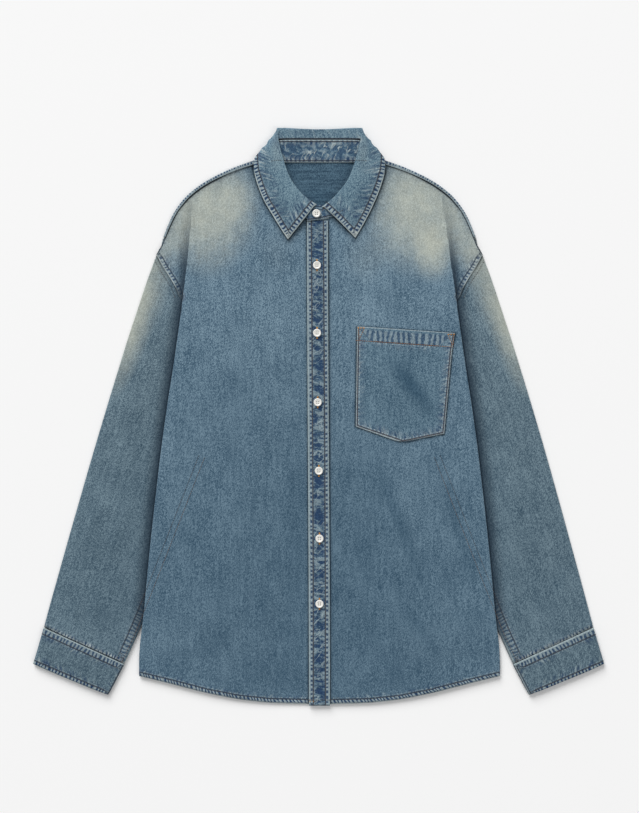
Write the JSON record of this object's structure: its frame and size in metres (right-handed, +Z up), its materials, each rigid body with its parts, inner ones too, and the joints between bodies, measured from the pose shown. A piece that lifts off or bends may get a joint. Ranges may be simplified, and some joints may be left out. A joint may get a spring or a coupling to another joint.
{
  "type": "denim shirt",
  "caption": "Long-sleeved denim shirt laid flat, buttoned, with a pointed collar, a patch pocket, a buttonhole placket, cuffs and a gently curved hem",
  "frame": {"origin": "on the surface that the shirt lies on, under the middle of its outline", "axes": "+Z is up from the surface, +Y runs from the hem to the collar, +X points to the wearer's left sleeve"},
  "size_m": [0.8002, 0.8086, 0.0122],
  "materials": {
    "denim": "washed cotton twill, faded at the shoulders",
    "denim_seamed": "washed cotton twill, puckered along its seams",
    "button": "satin"
  },
  "bodies": {
    "root": {"back": "denim", "yoke": "denim", "front_right": "denim", "front_left": "denim", "placket": "denim_seamed", "pocket": "denim", "collar_stand": "denim_seamed", "collar_leaf": "denim", "sleeve_right": "denim", "sleeve_left": "denim", "cuff_right": "denim", "cuff_left": "denim", "button_1": "button", "button_2": "button", "button_3": "button", "button_4": "button", "button_5": "button", "button_6": "button", "button_7": "button"}
  },
  "joints": []
}
